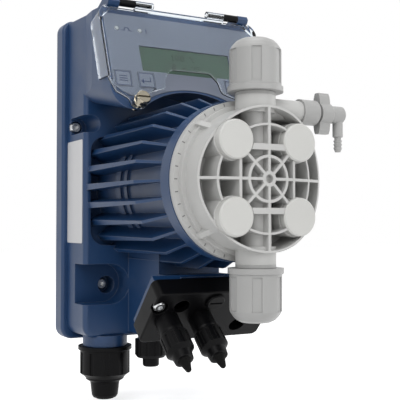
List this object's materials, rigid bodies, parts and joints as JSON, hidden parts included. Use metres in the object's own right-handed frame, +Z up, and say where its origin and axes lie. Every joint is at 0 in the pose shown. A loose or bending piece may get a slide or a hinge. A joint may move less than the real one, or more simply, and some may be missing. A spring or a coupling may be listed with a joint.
{
  "type": "diaphragm metering pump",
  "caption": "Wall-mounted solenoid diaphragm metering pump with finned drive housing, ribbed pump head, union-nut valves, priming valve, cable glands and a hinged clear lid over its panel.",
  "frame": {"origin": "where the axis of the pump head meets the wall plane, at the centre of the bracket's holes", "axes": "+Z up along the upright valve channel, +Y into the wall, +X to the right as seen from the front"},
  "size_m": [0.1203, 0.1827, 0.2612],
  "materials": {
    "blue_casing": "satin moulded plastic",
    "black_plastic": "matt moulded plastic",
    "black_rubber": "matt rubber",
    "clear_plastic": "clear moulded plastic",
    "white_label": "satin sheet",
    "grey_panel": "satin membrane",
    "key_face": "satin membrane",
    "display_glass": "gloss glass",
    "green_board": "satin lacquer",
    "lamp": "gloss",
    "steel": "machined",
    "zinc_plate": "plated",
    "copper_coil": "wound wire",
    "white_nylon": "matt moulded plastic",
    "grey_head": "satin moulded plastic",
    "cap_grey": "satin moulded plastic",
    "nut_white": "satin moulded plastic",
    "ceramic": "polished ceramic",
    "clear_elbow": "satin moulded plastic"
  },
  "bodies": {
    "casing": {"rear_shell": "blue_casing", "wall_bracket": "zinc_plate", "casing_gasket": "black_rubber", "front_casing": "blue_casing", "casing_screws": "steel", "side_label": "white_label", "panel_overlay": "grey_panel", "display_module": "display_glass", "circuit_board": "green_board", "board_screws": "steel", "status_leds": "lamp", "driver_board": "green_board", "terminal_block": "green_board", "hinge_pins": "black_plastic", "io_plate": "black_plastic", "io_gasket": "black_rubber", "io_plate_screws": "steel", "signal_gland_bodies": "black_plastic", "signal_gland_plugs": "black_rubber", "blanking_plug": "black_plastic", "connector_cap": "black_plastic", "power_gland_seal": "black_rubber", "solenoid_yoke": "zinc_plate", "pole_piece": "steel", "bobbin": "white_nylon", "coil": "copper_coil", "stroke_stop": "steel", "guide_bush": "white_nylon", "pump_head": "grey_head", "head_bolts": "steel", "bolt_caps": "cap_grey", "delivery_valve": "nut_white", "suction_valve": "nut_white", "delivery_ferrule": "white_nylon", "suction_ferrule": "white_nylon", "priming_body": "nut_white"},
    "lid": {"clear_lid": "clear_plastic"},
    "lid_screw_left": {"lid_screw_left": "steel"},
    "lid_screw_right": {"lid_screw_right": "steel"},
    "menu_key": {"menu_key": "key_face"},
    "enter_key": {"enter_key": "key_face"},
    "down_key": {"down_key": "key_face"},
    "up_key": {"up_key": "key_face"},
    "drive": {"armature": "steel", "drive_shaft": "steel", "spring_seat": "steel", "return_spring": "steel", "diaphragm": "ceramic"},
    "delivery_ball": {"delivery_ball": "ceramic"},
    "suction_ball": {"suction_ball": "ceramic"},
    "delivery_nut": {"delivery_nut": "nut_white"},
    "suction_nut": {"suction_nut": "nut_white"},
    "priming_knob": {"priming_knob": "nut_white"},
    "priming_elbow": {"priming_elbow": "clear_elbow"},
    "power_gland_nut": {"power_gland_nut": "black_plastic"},
    "signal_gland_nut_left": {"signal_gland_nut_left": "black_plastic"},
    "signal_gland_nut_right": {"signal_gland_nut_right": "black_plastic"}
  },
  "joints": [
    {"name": "lid_hinge", "type": "hinge", "parent": "casing", "child": "lid", "pos_m": [0, -0.07648, 0.11647], "axis": [-1, 0, 0], "range_deg": [0, 100]},
    {"name": "lid_screw_left_turn", "type": "hinge", "parent": "lid", "child": "lid_screw_left", "pos_m": [-0.04, -0.10098, 0.05037], "axis": [0, -0.9367, 0.3502], "continuous": true},
    {"name": "lid_screw_right_turn", "type": "hinge", "parent": "lid", "child": "lid_screw_right", "pos_m": [0.04, -0.10098, 0.05037], "axis": [0, -0.9367, 0.3502], "continuous": true},
    {"name": "menu_key_press", "type": "slide", "parent": "casing", "child": "menu_key", "axis": [0, 0.9367, -0.3502], "range_m": [0, 0.0005], "stiffness_N_per_m": 500, "springref_m": -0.001},
    {"name": "enter_key_press", "type": "slide", "parent": "casing", "child": "enter_key", "axis": [0, 0.9367, -0.3502], "range_m": [0, 0.0005], "stiffness_N_per_m": 500, "springref_m": -0.001},
    {"name": "down_key_press", "type": "slide", "parent": "casing", "child": "down_key", "axis": [0, 0.9367, -0.3502], "range_m": [0, 0.0005], "stiffness_N_per_m": 500, "springref_m": -0.001},
    {"name": "up_key_press", "type": "slide", "parent": "casing", "child": "up_key", "axis": [0, 0.9367, -0.3502], "range_m": [0, 0.0005], "stiffness_N_per_m": 500, "springref_m": -0.001},
    {"name": "drive_stroke", "type": "slide", "parent": "casing", "child": "drive", "axis": [0, -1, 0], "range_m": [0, 0.00125], "stiffness_N_per_m": 8000, "springref_m": -0.002, "deforming": ["return_spring", "diaphragm"]},
    {"name": "delivery_ball_lift", "type": "slide", "parent": "casing", "child": "delivery_ball", "axis": [0, 0, 1], "range_m": [0, 0.001]},
    {"name": "suction_ball_lift", "type": "slide", "parent": "casing", "child": "suction_ball", "axis": [0, 0, 1], "range_m": [0, 0.001]},
    {"name": "delivery_nut_turn", "type": "hinge", "parent": "casing", "child": "delivery_nut", "pos_m": [0, -0.167, 0.06], "axis": [0, 0, 1], "continuous": true},
    {"name": "suction_nut_turn", "type": "hinge", "parent": "casing", "child": "suction_nut", "pos_m": [0, -0.167, -0.06], "axis": [0, 0, -1], "continuous": true},
    {"name": "priming_knob_turn", "type": "hinge", "parent": "casing", "child": "priming_knob", "pos_m": [0.048, -0.167, 0.0403], "axis": [1, 0, 0], "continuous": true},
    {"name": "priming_elbow_swivel", "type": "hinge", "parent": "priming_knob", "child": "priming_elbow", "pos_m": [0.056, -0.167, 0.0403], "axis": [1, 0, 0], "continuous": true},
    {"name": "power_gland_nut_turn", "type": "hinge", "parent": "casing", "child": "power_gland_nut", "pos_m": [-0.034, -0.032, -0.115], "axis": [0, 0, -1], "continuous": true},
    {"name": "signal_gland_nut_left_turn", "type": "hinge", "parent": "casing", "child": "signal_gland_nut_left", "pos_m": [-0.03, -0.13099, -0.09473], "axis": [0, -0.7396, -0.673], "continuous": true},
    {"name": "signal_gland_nut_right_turn", "type": "hinge", "parent": "casing", "child": "signal_gland_nut_right", "pos_m": [-0.0075, -0.13132, -0.09436], "axis": [0, -0.7396, -0.673], "continuous": true}
  ]
}
